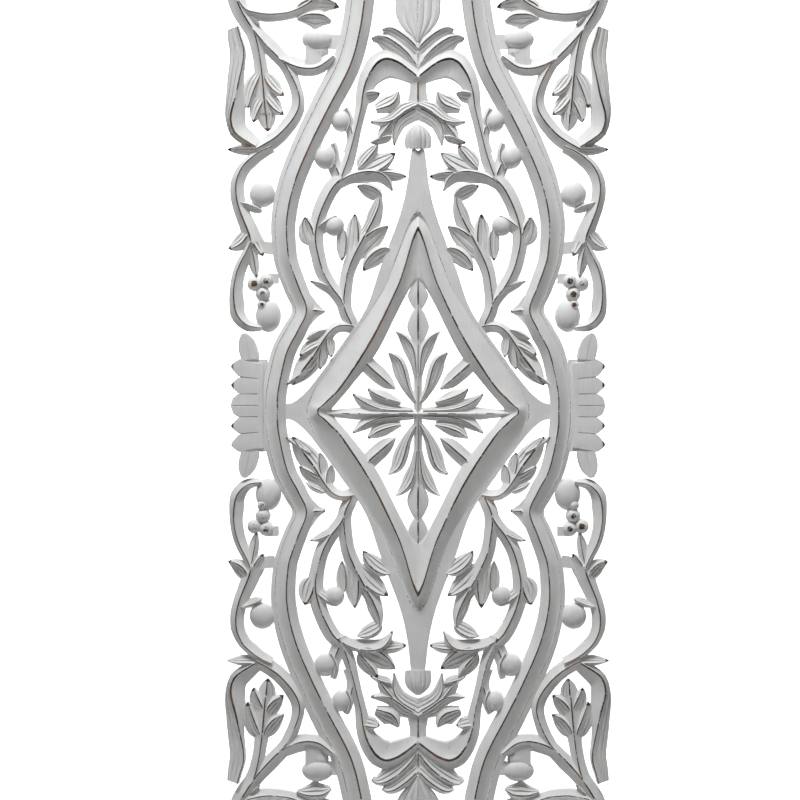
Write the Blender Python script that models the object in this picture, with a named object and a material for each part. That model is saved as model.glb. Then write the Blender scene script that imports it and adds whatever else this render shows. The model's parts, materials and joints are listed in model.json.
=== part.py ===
"""Carved wall panel: one openwork board with a scrolling leaf pattern, painted white.

The pattern is the same left and right, and the lower half repeats the upper half upside down. One
quarter is drawn here on a sheet of squares, shape by shape, in the order that a carver would cut
it: the two long mouldings, the diamond, the flower in it, then the stems, leaves and buds. Each
shape is a closed solid with its own crests and bevels. They are joined into one board, whose back
is flat and whose two ends are cut square.

X runs across the panel, Z up it, and Y from the front to the flat back at Y = 0.
"""

import math

import bmesh
import bpy
from mathutils import Vector

# Overall size of the board, in metres.
PANEL_WIDTH = 0.386
PANEL_LENGTH = 0.800

# Heights of the carving above the flat back, in metres.
MOULDING_CREST = 0.0180
MOULDING_FOOT = 0.0105
MOULDING_RIM = 0.0085
MOULDING_LIP = 0.0085
DIAMOND_STRIP = 0.0090
BELL_NECK = 0.0110
STEM_CREST = 0.0145
LEAF_CREST = 0.0125
LEAF_ROOT = 0.0100
LEAF_EDGE = 0.0070
LEAF_TIP = 0.0115
BUD_CREST = 0.0155
PETAL_CREST = 0.0125
PETAL_GROOVE = 0.0105
CUT_EDGE = 0.0080

# The sheet that the pattern is drawn on. A square is a share of the panel's width or length, so
# the carving follows the board. Places are (squares from the middle, squares above the origin).
SQUARES_ACROSS = 386
SQUARES_UP = 800
SQUARES_ABOVE_ORIGIN = 410
SQUARE_X = PANEL_WIDTH / SQUARES_ACROSS
SQUARE_Z = PANEL_LENGTH / SQUARES_UP

# Height of the line that each part of the pattern is mirrored about, in squares.
MOULDING_AXIS = -1.0
DIAMOND_AXIS = -1.5
FLOWER_AXIS = -3.5
PALMETTE_AXIS = 0.5
OUTER_AXIS = 5.0
FAN_AXIS = 4.5

# How far the shapes reach behind the back before the board is planed flat, in metres.
OVERCUT = 0.002

# Distance between the cross-sections of a curved shape, in squares.
STATION_PITCH = 25.0
CURVE_STEPS = 12

# A leaf's outline between its two points: (share of its length, share of its full width).
LEAF_OUTLINE = ((0.24, 0.96), (0.70, 0.84))
NARROW_OUTLINE = ((0.42, 1.0),)
NARROW_LEAF = 16.5

# A bud's dome: (share of its half width, share of its rise above the cut edge).
BUD_RINGS = ((1.0, 0.0), (0.66, 0.72))
BUD_SIDES = 7
BERRY_RINGS = ((1.0, 0.0),)
BERRY_SIDES = 6
BERRY_HALF = 7.6

# Faces that bend less than this, in degrees, are planed into one.
PLANED_BEND = 14.0


def between(values, share):
    """The value at this share of the way along evenly spaced values."""
    if not isinstance(values, tuple):
        return values
    place = share * (len(values) - 1)
    first = min(int(place), len(values) - 2)
    part = place - first
    return values[first] * (1 - part) + values[first + 1] * part


def smooth_curve(points):
    """Many points on a smooth curve through the given ones."""
    points = [Vector(p) for p in points]
    ends = [2 * points[0] - points[1], *points, 2 * points[-1] - points[-2]]
    curve = []
    for before, start, end, after in zip(ends, ends[1:], ends[2:], ends[3:]):
        for step in range(CURVE_STEPS):
            t = step / CURVE_STEPS
            curve.append(
                0.5
                * (
                    2 * start
                    + (end - before) * t
                    + (2 * before - 5 * start + 4 * end - after) * t**2
                    + (3 * start - before - 3 * end + after) * t**3
                )
            )
    curve.append(points[-1])
    return curve


def stations(points, count=None):
    """(place, leftward direction, share of the length) at even distances along a smooth curve."""
    curve = smooth_curve(points)
    reach = [0.0]
    for a, b in zip(curve, curve[1:]):
        reach.append(reach[-1] + (b - a).length)
    count = count or max(3, round(reach[-1] / STATION_PITCH) + 1)
    found = []
    index = 0
    for n in range(count):
        share = n / (count - 1)
        while index < len(curve) - 2 and reach[index + 1] < share * reach[-1]:
            index += 1
        ahead = curve[index + 1] - curve[index]
        part = (share * reach[-1] - reach[index]) / ahead.length
        ahead_line = ahead.normalized()
        found.append((curve[index] + ahead * part, Vector((-ahead_line.y, ahead_line.x)), share))
    return found


def marked_stations(points):
    """(place, leftward direction, share of the length) at the given points of a line."""
    points = [Vector(p) for p in points]
    reach = [0.0]
    for a, b in zip(points, points[1:]):
        reach.append(reach[-1] + (b - a).length)
    found = []
    for n, place in enumerate(points):
        ahead = (points[min(n + 1, len(points) - 1)] - points[max(n - 1, 0)]).normalized()
        found.append((place, Vector((-ahead.y, ahead.x)), reach[n] / reach[-1]))
    return found


def stem_rows(path, left, right, crest=STEM_CREST, count=None):
    """Cross-sections of a stem: an edge, the crest that the path follows, and the other edge."""
    rows = []
    for place, side, share in stations(path, count):
        outer = place + side * between(left, share)
        inner = place - side * between(right, share)
        rows.append([(*outer, CUT_EDGE), (*place, between(crest, share)), (*inner, CUT_EDGE)])
    return rows


def leaf_rows(base, tip, width, bow=0.0, lean=0.0, crest=LEAF_CREST):
    """Cross-sections of a leaf, widest near its base, with its crest leaning to one edge.

    A positive bow bends it to the left of the way from base to tip, and a positive lean moves
    the crest to the left edge.
    """
    base, tip = Vector(base), Vector(tip)
    way = tip - base
    side = Vector((-way.y, way.x)).normalized()
    rows = [[(*base, LEAF_ROOT)] * 3]
    for share, opening in LEAF_OUTLINE if width > NARROW_LEAF else NARROW_OUTLINE:
        place = base + way * share + side * (bow * 4 * share * (1 - share))
        along = way + side * (bow * 4 * (1 - 2 * share))
        across = Vector((-along.y, along.x)).normalized()
        half = opening * width / 2
        rows.append(
            [
                (*(place + across * half), LEAF_EDGE),
                (*(place + across * half * lean), crest),
                (*(place - across * half), LEAF_EDGE),
            ]
        )
    rows.append([(*tip, min(LEAF_TIP, crest))] * 3)
    return rows


def moulding_rows(path, inner, slope, strip):
    """Cross-sections of a moulding: lip, crest, foot of the steep slope, and outer rim."""
    rows = []
    for place, side, share in marked_stations(path):
        lip = place - side * between(inner, share)
        foot = place + side * between(slope, share)
        rim = foot + side * between(strip, share)
        rows.append(
            [
                (*lip, MOULDING_LIP),
                (*place, MOULDING_CREST),
                (*foot, MOULDING_FOOT),
                (*rim, MOULDING_RIM),
            ]
        )
    return rows


shapes = bpy.data.collections.new("leaves_stems_and_buds")
mouldings = bpy.data.collections.new("mouldings")


def sheet_place(point, side, level, axis):
    """World place of a point of the sheet, on this side and in the upper or lower half."""
    across, up, height = point
    if level < 0:
        up = 2 * axis - up
    return Vector((side * across * SQUARE_X, -height, up * SQUARE_Z))


def add_shape(name, build, sides, levels, axis, target=shapes):
    """Makes a shape's solid in each place where the pattern repeats it."""
    made = []
    for side in sides:
        for level in levels:
            mesh = bmesh.new()
            build(mesh, lambda point: sheet_place(point, side, level, axis))
            bmesh.ops.recalc_face_normals(mesh, faces=mesh.faces)
            data = bpy.data.meshes.new(name)
            mesh.to_mesh(data)
            mesh.free()
            shape = bpy.data.objects.new(name, data)
            target.objects.link(shape)
            made.append(shape)
    return made


def add_face(mesh, corners):
    """A face on these corners, with repeats of a corner left out."""
    ring = [c for n, c in enumerate(corners) if c is not corners[n - 1]]
    if len(set(ring)) > 2:
        mesh.faces.new(ring)


def ribbon(rows, closed=False):
    """Builder of a solid whose face follows the cross-sections and whose sides are upright."""

    def build(mesh, place):
        tops = []
        feet = []
        for row in rows:
            if row[0] == row[-1]:
                top = [mesh.verts.new(place(row[0]))] * len(row)
                foot = [mesh.verts.new(place((*row[0][:2], -OVERCUT)))] * 2
            else:
                top = [mesh.verts.new(place(point)) for point in row]
                foot = [mesh.verts.new(place((*end[:2], -OVERCUT))) for end in (row[0], row[-1])]
            tops.append(top)
            feet.append(foot)
        pairs = list(zip(range(len(rows)), range(1, len(rows))))
        if closed:
            pairs.append((len(rows) - 1, 0))
        for a, b in pairs:
            for n in range(len(rows[0]) - 1):
                add_face(mesh, [tops[a][n], tops[a][n + 1], tops[b][n + 1], tops[b][n]])
            add_face(mesh, [tops[a][0], tops[b][0], feet[b][0], feet[a][0]])
            add_face(mesh, [tops[a][-1], feet[a][1], feet[b][1], tops[b][-1]])
            add_face(mesh, [feet[a][0], feet[b][0], feet[b][1], feet[a][1]])
        if not closed:
            for end in (0, -1):
                add_face(mesh, [*tops[end], feet[end][1], feet[end][0]])

    return build


def dome(centre, half_width, half_height, crest=BUD_CREST, sides=BUD_SIDES, profile=BUD_RINGS):
    """Builder of a rounded bud: an oval with upright sides under a dome."""

    def ring_point(mesh, place, step, share, height):
        angle = 2 * math.pi * (step + 0.5) / sides
        across = centre[0] + half_width * share * math.cos(angle)
        up = centre[1] + half_height * share * math.sin(angle)
        return mesh.verts.new(place((across, up, height)))

    def build(mesh, place):
        rings = [[ring_point(mesh, place, step, 1.0, -OVERCUT) for step in range(sides)]]
        for share, rise in profile:
            height = CUT_EDGE + (crest - CUT_EDGE) * rise
            rings.append([ring_point(mesh, place, step, share, height) for step in range(sides)])
        for lower, upper in zip(rings, rings[1:]):
            for n in range(sides):
                mesh.faces.new([lower[n - 1], lower[n], upper[n], upper[n - 1]])
        mesh.faces.new(rings[0])
        peak = mesh.verts.new(place((*centre, crest)))
        for n in range(sides):
            mesh.faces.new([rings[-1][n - 1], rings[-1][n], peak])

    return build


def quarter(name, build, axis):
    """A shape that shows four times: left and right, above and below."""
    add_shape(name, build, (1, -1), (1, -1), axis)


def on_centre(name, build, axis):
    """A shape on the panel's centre line, once above and once below."""
    add_shape(name, build, (1,), (1, -1), axis)


def stem(name, axis, path, left, right, **more):
    quarter(name, ribbon(stem_rows(path, left, right, **more)), axis)


def web(axis, start, end, half_width, height=MOULDING_LIP):
    """A flat bridge that ties a scroll to its neighbour."""
    rows = [
        [(*(place + side * half_width), height), (*(place - side * half_width), height)]
        for place, side, _ in marked_stations([start, end])
    ]
    quarter("web", ribbon(rows), axis)


def leaf(name, axis, base, tip, width, **more):
    quarter(name, ribbon(leaf_rows(base, tip, width, **more)), axis)


def bud(name, axis, *shape):
    quarter(name, dome(*shape), axis)


def berry(axis, centre, half_width, half_height):
    shape = dome(centre, half_width, half_height, sides=BERRY_SIDES, profile=BERRY_RINGS)
    quarter("berry", shape, axis)


def mirrored_path(path, axis):
    """A path of the upper half, carried on through its mirror image in the lower half."""
    return path + [(across, 2 * axis - up) for across, up in reversed(path[:-1])]


def side_mouldings():
    """The long moulding on each side, which bends out round the panel's middle."""
    crest_line = [(52.5, 415), (57.5, 380), (67.5, 343), (88.5, 302), (106, 267), (122.5, 227.5),
                  (130.6, 190), (129.4, 156), (125, 139), (118.5, 121.5), (112, 108), (111, 99),
                  (116, 86.5), (131, 56), (139.1, 19), (140, MOULDING_AXIS)]
    rows = moulding_rows(
        mirrored_path(crest_line, MOULDING_AXIS),
        inner=(10, 9.5, 9, 8, 9, 9.5, 10),
        slope=(12.5, 13, 12, 11, 12, 13, 12.5),
        strip=(6, 6.5, 4.5, 3.5, 4.5, 6.5, 6),
    )
    add_shape("side_moulding", ribbon(rows), (1, -1), (1,), MOULDING_AXIS, mouldings)


def diamond_quarter():
    """Cross-sections of the diamond's frame, from its top point round to its side point."""
    rim = [(0, 259), (6.5, 258.9), (11, 225), (19, 192), (37, 144), (52, 101), (75, 67),
           (99, 34), (112, 18), (124, 8), (134, 4.5)]
    foot = [(0, 197), (3, 195), (8, 188), (13, 176), (24, 146), (36.5, 117), (64, 77),
            (94, 35), (103, 22), (107.5, 10), (110, 4)]
    crest = [(0, 182), (1.5, 179.5), (5, 171), (8, 161), (14, 140), (22, 119), (46, 70),
             (75, 25), (88, 11), (95, 4.5), (99.5, 1)]
    lip = [(0, 127.5), (1.5, 127), (5, 126), (10, 118), (17, 105), (24, 91), (42, 56),
           (66, 25), (76, 13), (82, 6), (86, 1)]
    return [
        [(*d, MOULDING_LIP), (*c, MOULDING_CREST), (*b, DIAMOND_STRIP), (*a, DIAMOND_STRIP)]
        for a, b, c, d in zip(rim, foot, crest, lip)
    ]


def diamond_frame():
    """The diamond in the middle, one closed moulding with a long point above and below."""
    upper_right = diamond_quarter()
    lower_right = [
        [(across, 2 * DIAMOND_AXIS - up, height) for across, up, height in row]
        for row in reversed(upper_right)
    ]
    right = upper_right + lower_right
    left = [[(-across, up, height) for across, up, height in row] for row in reversed(right)]
    rows = right + left[1:-1]
    add_shape("diamond_frame", ribbon(rows, closed=True), (1,), (1,), 0.0, mouldings)


def fan(axis=FAN_AXIS):
    """The fan of petals on the outer edge of each side, opposite the diamond's side point."""
    inner, root, shoulder, curl, tip = 150.0, 157.0, 180.0, 184.0, 186.5
    reach = 46.0
    lap = 2.0
    strip = [
        [(inner, up, MOULDING_LIP), (root + lap, up, MOULDING_LIP)]
        for up in (axis - reach, axis + reach)
    ]
    add_shape("fan_root", ribbon(strip), (1, -1), (1,), axis)
    # Each petal: its middle at the root and at the rim, and its half width at both.
    petals = ((0.0, 0.0, 12.2, 12.0), (19.0, 20.5, 7.9, 8.8), (33.6, 39.5, 7.8, 9.4))
    for number, (at_root, at_rim, half_root, half_rim) in enumerate(petals):
        rows = []
        for across, share, swell in ((root, 0.0, 1.0), (shoulder, 1.0, 1.0), (curl, 1.0, 0.62)):
            middle = axis + at_root + (at_rim - at_root) * share
            half = (half_root + (half_rim - half_root) * share) * swell
            rows.append(
                [
                    (across, middle + half, PETAL_GROOVE),
                    (across, middle, PETAL_CREST),
                    (across, middle - half, PETAL_GROOVE),
                ]
            )
        rows.append([(tip, axis + at_rim, PETAL_GROOVE)] * 3)
        levels = (1, -1) if number else (1,)
        add_shape("fan_petal", ribbon(rows), (1, -1), levels, axis)
    leaf("fan_top_petal", axis, (166, 42), (175, 79), 23, lean=0.1, crest=PETAL_CREST)


def flower(axis=FLOWER_AXIS):
    """The flower in the diamond: an upright spear, a level bar, and leaves between them."""
    spear = stem_rows(
        [(0, axis), (0, 30), (0, 60), (0, 90), (0, 131)],
        (4.5, 4.5, 9, 10, 12, 9, 4),
        (4.5, 4.5, 9, 10, 12, 9, 4),
        crest=(STEM_CREST, STEM_CREST, LEAF_CREST, LEAF_CREST, LEAF_CREST, LEAF_TIP, CUT_EDGE),
        count=7,
    )
    on_centre("flower_spear", ribbon(spear), axis)
    bar = stem_rows([(-54, axis), (0, axis), (54, axis)], (2, 8.5, 8.5, 8.5, 2), (2, 8.5, 8.5, 8.5, 2))
    flower_bar = add_shape("flower_bar", ribbon(bar), (1,), (1,), axis, bpy.context.collection)[0]
    point = stem_rows([(46, axis), (92, axis)], (2, 7, 3, 3), (2, 7, 3, 3), crest=LEAF_TIP, count=4)
    add_shape("flower_point", ribbon(point), (1, -1), (1,), axis)
    strut = (8.5, 8.5, 8.5, 8, 1)
    stem("flower_strut", axis, [(53, 47.5), (38, 34), (22.5, 21)], strut, strut, count=4)
    leaves = [
        ([(1.5, 34), (3.5, 56), (6.5, 65), (12.5, 72.5), (22, 78)],
         (2.5, 2.5, 3, 3.5, 3.5, 3, 1), (3, 4, 7, 10, 9.5, 6.5, 1)),
        ([(2, 8), (10, 24), (13.5, 38), (17.5, 48.5), (29.5, 57)],
         (2, 3, 3.5, 4, 4, 3.5, 1), (3, 5, 7.5, 10.5, 11, 9, 1)),
        ([(17, 7.5), (34, 12), (50, 21)], (2, 5, 7, 6, 1), (3, 6, 8, 7, 1)),
        ([(5, -0.5), (34, 0.5), (46, 4), (65, 15.8)],
         (3, 4.5, 5.5, 6.5, 5, 1), (2, 3, 4, 6, 7, 1)),
    ]
    for path, left, right in leaves:
        stem("flower_leaf", axis, path, left, right, crest=LEAF_CREST, count=6)
    return flower_bar


def palmette(axis=PALMETTE_AXIS):
    """The palmette above and below the diamond, with its arches, hood and hanging bud."""
    half = (1, 14, 23, 23, 23, 23)
    top = stem_rows([(0, 368), (0, 394), (0, 420)], half, half, crest=LEAF_CREST, count=6)
    on_centre("top_leaf", ribbon(top), axis)
    stem(
        "palmette_leaf",
        axis,
        [(-5, 356), (3, 364.5), (15, 374), (25, 380.5), (33, 380.5)],
        (3, 4, 4, 3, 1),
        (13, 13, 13, 11, 4),
        crest=LEAF_CREST,
    )
    stem(
        "palmette_leaf",
        axis,
        [(-2, 338), (6, 349), (18, 361), (34, 370.5), (44, 369)],
        (2, 2.5, 3, 3, 1),
        (6, 7, 8, 10, 5),
        crest=LEAF_CREST,
    )
    stem(
        "palmette_arch",
        axis,
        [(-1, 331), (10, 340), (20, 347), (31, 350.5), (40, 347), (47, 338), (52, 327), (55, 315),
         (56.5, 303), (59, 292), (62, 280), (65.5, 266), (70, 250), (78, 228)],
        (8, 10, 9.5, 8, 6, 4.5, 5, 7),
        (8, 17, 20, 9, 5.5, 5.5, 7, 7),
    )
    bar = stem_rows([(0, 342), (0, 303)], (9, 8, 8.5, 12), (9, 8, 8.5, 12), LEAF_TIP, count=4)
    on_centre("palmette_bar", ribbon(bar), axis)
    stem(
        "palmette_leaf",
        axis,
        [(19.5, 317.5), (21.5, 310), (28, 303.5), (42, 299.5)],
        (1.5, 11, 13.5, 6),
        (1, 6, 8, 3),
        crest=LEAF_CREST,
    )
    leaf("palmette_leaf", axis, (58, 311), (38, 316), 14, lean=-0.5)
    stem(
        "palmette_leaf",
        axis,
        [(-1, 306), (12.5, 298), (24, 289.5), (34, 287), (47, 287.5)],
        (4, 11, 9, 6, 1),
        (4, 5, 4, 5, 1),
        crest=LEAF_CREST,
    )
    stem(
        "palmette_hood",
        axis,
        [(-2, 303), (10, 297), (20, 289.5), (25, 279), (24, 264)],
        (2, 2, 2, 1.5, 0.6),
        (12, 11, 10, 8, 0.6),
        crest=LEAF_TIP,
    )
    on_centre("hanging_bud", dome((0, 269), 13.5, 15), axis)
    leaf("palmette_leaf", axis, (23, 290), (40.5, 268.5), 14, lean=0.1)
    leaf("palmette_leaf", axis, (26, 273), (48, 266.5), 9, lean=0.3)


def inner_field(axis=MOULDING_AXIS):
    """The stems, leaves and buds between the side moulding and the diamond."""
    stem(
        "inner_stem",
        axis,
        [(73, 103), (78, 112), (87, 123.5), (95, 139), (100, 156), (102.5, 172), (100.5, 186),
         (96, 200), (90, 213), (84, 223), (75, 232)],
        (7, 7, 6.5, 7, 8.5, 6.5, 6.5, 7),
        (7, 7, 8, 7.5, 8, 8.5, 9, 8),
    )
    stem(
        "inner_stem",
        axis,
        [(64, 80), (68, 89), (72.5, 99), (74, 110), (72.5, 124), (70, 138), (65, 151),
         (59, 163), (53, 174)],
        (7, 7, 7.5, 7, 7, 8, 8),
        (7, 7, 7, 6.5, 7, 8, 8),
    )
    leaf("inner_leaf", axis, (65, 148), (63, 196), 19, lean=0.5)
    leaf("inner_leaf", axis, (75, 181), (76, 148.5), 12.5, lean=-0.6)
    stem(
        "inner_leaf",
        axis,
        [(54, 174), (48, 184), (43, 194), (39, 204), (38, 213)],
        (7, 9, 8, 5, 2),
        (7, 6, 8, 8, 3),
        crest=LEAF_CREST,
    )
    leaf("inner_leaf", axis, (36, 211), (61, 223.5), 15, bow=1.5, lean=0.6)
    leaf("inner_leaf", axis, (63, 151), (29.5, 183.5), 20, bow=-2, lean=-0.65)
    leaf("inner_leaf", axis, (28, 161), (55, 138.5), 17, bow=3, lean=0.5)
    berry(axis, (83.5, 184), 10, 10.5)
    leaf("inner_leaf", axis, (104, 175), (81, 193.5), 12, lean=-0.5)
    leaf("inner_leaf", axis, (104, 164), (113, 192.5), 23, lean=0.3)
    leaf("inner_leaf", axis, (78, 113), (108, 128.5), 10, bow=2, lean=0.3)
    stem(
        "inner_arch",
        axis,
        [(62, 83), (70, 84.5), (79, 84), (86, 80), (92, 73), (98, 64), (104, 54)],
        (3, 4, 5, 6, 6, 6),
        (8, 7, 6, 7, 8, 9),
    )
    leaf("inner_leaf", axis, (89, 74), (86.5, 52.5), 11, lean=0.6)
    leaf("inner_leaf", axis, (91, 80), (112, 70.5), 10, lean=0.3)
    leaf("inner_leaf", axis, (93, 69), (118.5, 54), 14, bow=2, lean=-0.4)
    leaf("inner_leaf", axis, (94, 67), (126, 24.5), 22)
    leaf("inner_leaf", axis, (95, 64), (98, 40.5), 13, lean=0.3)
    stem("bud_stalk", axis, [(75, 227), (81, 240), (86, 253)], 7, 8, crest=LEAF_TIP, count=3)
    bud("moulding_bud", axis, (91.5, 252.5), 12.5, 12)
    stem("bud_stalk", axis, [(69, 256), (65, 270), (68, 285)], 5, 6, crest=LEAF_TIP, count=3)
    bud("moulding_bud", axis, (76, 288.5), 10.5, 12)
    stem(
        "inner_arch",
        axis,
        [(80, 226), (72, 232), (62, 236), (50, 238), (38, 236.5), (30, 230), (25.5, 219)],
        (6, 8, 10, 11, 10, 7, 0.8),
        (5, 3, 3, 3.5, 3, 3, 0.8),
    )
    leaf("inner_leaf", axis, (61, 238), (22.5, 256.5), 20, bow=2, lean=0.7)
    leaf("inner_leaf", axis, (40, 236), (11.5, 233), 13, lean=-0.3)
    leaf("inner_leaf", axis, (60, 241), (40, 264.5), 16, lean=0.2)
    leaf("moulding_cusp", axis, (118, 100), (92.5, 98.5), 32, crest=MOULDING_FOOT)


def outer_field(axis=OUTER_AXIS):
    """The strap, scrolls, hanging leaf, bell and berries on the outer edge of each side."""
    stem(
        "outer_stem",
        axis,
        [(184, 418), (177, 400), (170, 388), (163.5, 377), (159.5, 362), (157, 347), (155, 330),
         (153.5, 312), (152, 296)],
        (9, 9.5, 9, 8, 7, 8, 9, 7),
        (9, 8, 7, 6, 5.5, 7, 8, 6),
    )
    stem(
        "outer_loop",
        axis,
        [(166, 381), (158, 371), (149, 361), (140, 352), (133, 345), (126, 333), (121, 322),
         (118, 311), (119, 301), (124, 291), (132, 281), (141, 272.5), (151, 266), (162, 260)],
        (4, 6, 6, 6, 6.5, 7, 8, 8.5, 8, 7.5, 7, 7),
        (8, 9, 10, 9, 7, 5, 4.5, 6, 7, 8, 9, 7),
    )
    stem(
        "bell_cup",
        axis,
        [(138, 350), (128, 344.5), (117, 341), (107, 340.3), (97, 343), (84, 353)],
        (4, 6.5, 7, 7, 6, 4),
        (8, 10, 10, 10, 9, 4),
    )
    stem(
        "outer_strap",
        axis,
        [(180, 382.5), (177, 372), (173.5, 360), (174, 348), (178, 330), (182, 313), (186, 300),
         (187.5, 289), (184, 277), (175, 269.5), (162, 262)],
        (11, 15, 14, 12, 9, 6, 5, 4),
        (1.5, 1.5, 2, 5, 13, 15, 14, 9),
    )
    leaf("outer_spur", axis, (155, 260), (190.5, 260), 11, lean=0.5)
    stem(
        "outer_scroll",
        axis,
        [(146, 263), (157, 258), (167, 251), (175.5, 242), (181, 229), (181.5, 215),
         (178.5, 201), (174, 189), (169.5, 178), (165.5, 166)],
        (4, 4, 4, 5, 6, 6, 6, 7, 9),
        (6, 8, 9, 8, 8, 8, 9, 10.5, 11),
    )
    bud("scroll_bud", axis, (155.5, 215.5), 13, 13.5)
    leaf("outer_leaf", axis, (155, 198), (178, 207), 9, lean=0.3)
    leaf("outer_curl", axis, (169, 181), (189.5, 161), 16, bow=-4, lean=-0.2)
    leaf("outer_curl", axis, (168, 181), (154.5, 153.5), 16, lean=0.4)
    web(axis, (143, 161), (160, 163), 6)
    stem(
        "pendant_ring",
        axis,
        [(166, 170), (171, 158), (177, 147), (181.5, 135), (184, 120), (183.5, 106), (181, 96),
         (175, 88), (167, 83.5), (156, 82)],
        (4, 4, 4, 4, 4, 5, 7, 6, 3),
        (6, 6, 8, 8.5, 9, 10, 8, 5, 3),
    )
    leaf("pendant_leaf", axis, (168, 167), (161, 131), 11, lean=-0.2)
    for centre in ((151.5, 128.5), (163.2, 126), (154.8, 115.5)):
        berry(axis, centre, BERRY_HALF, BERRY_HALF)
    web(axis, (139, 131), (152, 131), 5)
    bud("pendant_bud", axis, (149.5, 94), 13, 16.5)
    leaf("hanging_leaf", axis, (153, 336), (135, 314.5), 13)
    leaf("hanging_leaf", axis, (158, 336), (169.5, 302.5), 14)
    leaf("hanging_leaf", axis, (154, 315), (135.5, 296.5), 14)
    leaf("hanging_leaf", axis, (153, 312), (164.5, 287.5), 13)
    leaf("hanging_leaf", axis, (152, 306), (151, 278), 15)
    web(axis, (166, 308), (184, 306), 5)
    stem(
        "top_scroll",
        axis,
        [(180, 410), (172, 399.5), (162, 396.3), (150, 394.5), (138, 395), (128, 396.5),
         (117, 401), (106, 408), (96, 417)],
        (3, 6, 7, 7, 6, 7, 10, 10),
        (3, 4, 5.5, 6, 6, 6, 6, 6),
    )
    leaf("top_scroll_leaf", axis, (124, 395), (78.5, 402), 20, bow=-7, lean=-0.5)
    stem(
        "bell_collar",
        axis,
        [(121, 390), (112, 394), (103, 394.8), (94, 393.5), (86.5, 388)],
        (1, 10, 15, 12, 3),
        (0.8, 4, 5, 4, 1),
        crest=LEAF_CREST,
    )
    bud("bell_ball", axis, (100.5, 370.3), 15.8, 10.8)
    web(axis, (104.5, 364), (104.5, 343), 8, BELL_NECK)
    web(axis, (72, 367), (90, 368), 7)


def painted_wood():
    """White paint on wood, rubbed to a soft sheen."""
    material = bpy.data.materials.new("whitewashed_wood")
    material.use_nodes = True
    shader = material.node_tree.nodes["Principled BSDF"]
    shader.inputs["Base Color"].default_value = (0.66, 0.65, 0.63, 1.0)
    shader.inputs["Roughness"].default_value = 0.62
    shader.inputs["Metallic"].default_value = 0.0
    return material


def board_blank():
    """The board that the carving is cut from: flat at the back and square at both ends."""
    top = SQUARES_ABOVE_ORIGIN * SQUARE_Z
    size = Vector((1.2 * PANEL_WIDTH, 1.5 * MOULDING_CREST, PANEL_LENGTH))
    mesh = bmesh.new()
    bmesh.ops.create_cube(mesh, size=1.0)
    bmesh.ops.scale(mesh, vec=size, verts=mesh.verts)
    bmesh.ops.translate(mesh, vec=(0, -size.y / 2, top - size.z / 2), verts=mesh.verts)
    data = bpy.data.meshes.new("board_blank")
    mesh.to_mesh(data)
    mesh.free()
    blank = bpy.data.objects.new("board_blank", data)
    bpy.context.collection.objects.link(blank)
    return blank


def join(joined, collection):
    """Joins every shape of the collection to this one."""
    union = joined.modifiers.new("join_" + collection.name, "BOOLEAN")
    union.operation = "UNION"
    union.operand_type = "COLLECTION"
    union.collection = collection
    union.solver = "MANIFOLD"
    for shape in collection.objects:
        shape.hide_render = True
        shape.display_type = "WIRE"


def plane_small_bends(carving):
    plane = carving.modifiers.new("plane_small_bends", "DECIMATE")
    plane.decimate_type = "DISSOLVE"
    plane.angle_limit = math.radians(PLANED_BEND)


def trim(panel):
    """Cuts the flat back and the two square ends."""
    blank = board_blank()
    blank.hide_render = True
    blank.display_type = "WIRE"
    cut = panel.modifiers.new("plane_back_and_ends", "BOOLEAN")
    cut.operation = "INTERSECT"
    cut.solver = "MANIFOLD"
    cut.object = blank


def build_panel():
    for old in list(bpy.data.objects):
        bpy.data.objects.remove(old)
    for collection in (shapes, mouldings):
        bpy.context.scene.collection.children.link(collection)
    side_mouldings()
    diamond_frame()
    fan()
    panel = flower()
    panel.name = "carved_panel"
    palmette()
    inner_field()
    outer_field()
    join(panel, shapes)
    plane_small_bends(panel)
    join(panel, mouldings)
    trim(panel)
    panel.data.materials.append(painted_wood())


build_panel()
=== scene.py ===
import json
import math

import bpy
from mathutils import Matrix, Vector

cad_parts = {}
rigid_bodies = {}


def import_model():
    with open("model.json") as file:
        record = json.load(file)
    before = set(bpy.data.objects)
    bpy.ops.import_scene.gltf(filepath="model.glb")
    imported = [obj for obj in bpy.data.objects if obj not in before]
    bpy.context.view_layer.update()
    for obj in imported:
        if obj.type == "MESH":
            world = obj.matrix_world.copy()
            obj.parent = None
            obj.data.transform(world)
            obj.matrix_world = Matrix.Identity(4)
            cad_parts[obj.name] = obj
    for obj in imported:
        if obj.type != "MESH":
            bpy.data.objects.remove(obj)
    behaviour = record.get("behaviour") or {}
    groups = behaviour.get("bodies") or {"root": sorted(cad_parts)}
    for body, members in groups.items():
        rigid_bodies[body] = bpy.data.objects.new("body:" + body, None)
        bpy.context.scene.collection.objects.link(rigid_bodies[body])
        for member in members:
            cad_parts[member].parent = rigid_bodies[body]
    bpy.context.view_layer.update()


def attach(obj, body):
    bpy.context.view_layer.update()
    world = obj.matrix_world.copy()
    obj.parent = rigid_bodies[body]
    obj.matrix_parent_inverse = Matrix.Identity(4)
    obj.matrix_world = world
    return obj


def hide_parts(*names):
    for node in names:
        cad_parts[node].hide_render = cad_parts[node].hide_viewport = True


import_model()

# Side mouldings: the two long curved mouldings, cut from the same board as everything else. Each
# has a bevel on its inner side, a narrow rounded ridge, a hollowed slope and a flat outer strip.

# All of the carving is drawn in millimetres: across from the middle, up from the origin, and
# height in front of the flat back.
MM = 0.001
MOULDING_CREST = 17.9
MOULDING_FOOT = 10.5
MOULDING_RIM = 8.5
MOULDING_LIP = 8.5
MOULDING_AXIS = -1.0
# Shapes that cross a mirror axis run this far past it, so that their mirror images join them.
PAST_AXIS = 2.0


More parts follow.
